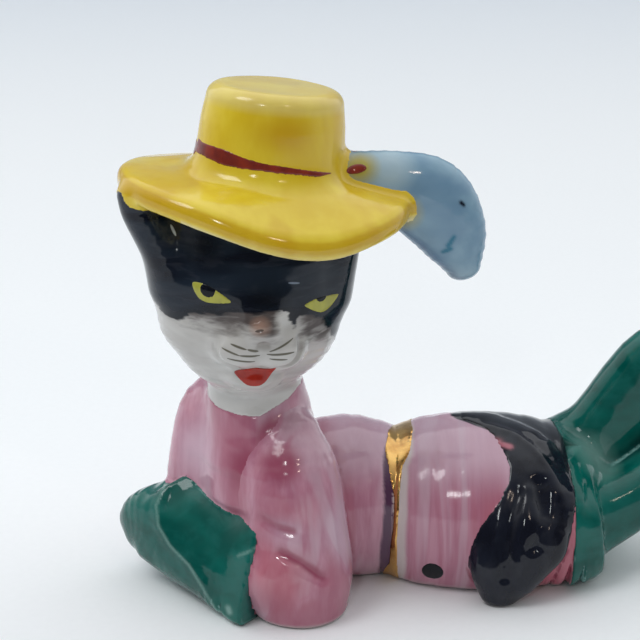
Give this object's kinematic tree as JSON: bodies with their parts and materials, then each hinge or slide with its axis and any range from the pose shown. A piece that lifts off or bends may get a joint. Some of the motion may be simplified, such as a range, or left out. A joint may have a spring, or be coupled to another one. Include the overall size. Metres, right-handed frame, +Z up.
{
  "type": "alebrije figure",
  "caption": "Glazed hollow porcelain cat lying on its belly in a plumed brimmed hat, jacket, gauntlets and thigh boots.",
  "frame": {"origin": "middle of the figure's bounding box, at the height of the surface that it lies on", "axes": "+X from the head to the boots, +Y to the cat's right side, +Z up; the cat's left side faces -Y"},
  "size_m": [0.0986, 0.0384, 0.0771],
  "materials": {
    "yellow_glaze": "glossy glaze over brushed colour",
    "brown_red_glaze": "glossy glaze over brushed colour",
    "pale_blue_glaze": "glossy glaze over brushed colour",
    "black_glaze": "glossy glaze over brushed colour",
    "white_glaze": "glossy glaze over brushed colour",
    "eye_green_glaze": "glossy glaze over brushed colour",
    "mouth_red_glaze": "glossy glaze over brushed colour",
    "pink_glaze": "glossy glaze over brushed colour",
    "green_glaze": "glossy glaze over brushed colour",
    "gilding": "bright fired gold lustre"
  },
  "bodies": {
    "root": {"hat_brim": "yellow_glaze", "hat_crown": "yellow_glaze", "hat_band": "brown_red_glaze", "band_knot": "brown_red_glaze", "plume": "pale_blue_glaze", "head": "white_glaze", "muzzle": "white_glaze", "nose": "white_glaze", "neck": "white_glaze", "mouth": "mouth_red_glaze", "left_eye": "eye_green_glaze", "right_eye": "eye_green_glaze", "left_ear": "black_glaze", "right_ear": "black_glaze", "tail": "black_glaze", "hip_spot": "black_glaze", "jacket_front": "pink_glaze", "jacket_skirt": "pink_glaze", "left_sleeve": "pink_glaze", "right_sleeve": "pink_glaze", "belt": "gilding", "left_gauntlet": "green_glaze", "right_gauntlet": "green_glaze", "left_boot_cuff": "green_glaze", "right_boot_cuff": "green_glaze", "left_boot": "green_glaze", "right_boot": "green_glaze", "left_boot_heel": "green_glaze", "right_boot_heel": "green_glaze"}
  },
  "joints": []
}
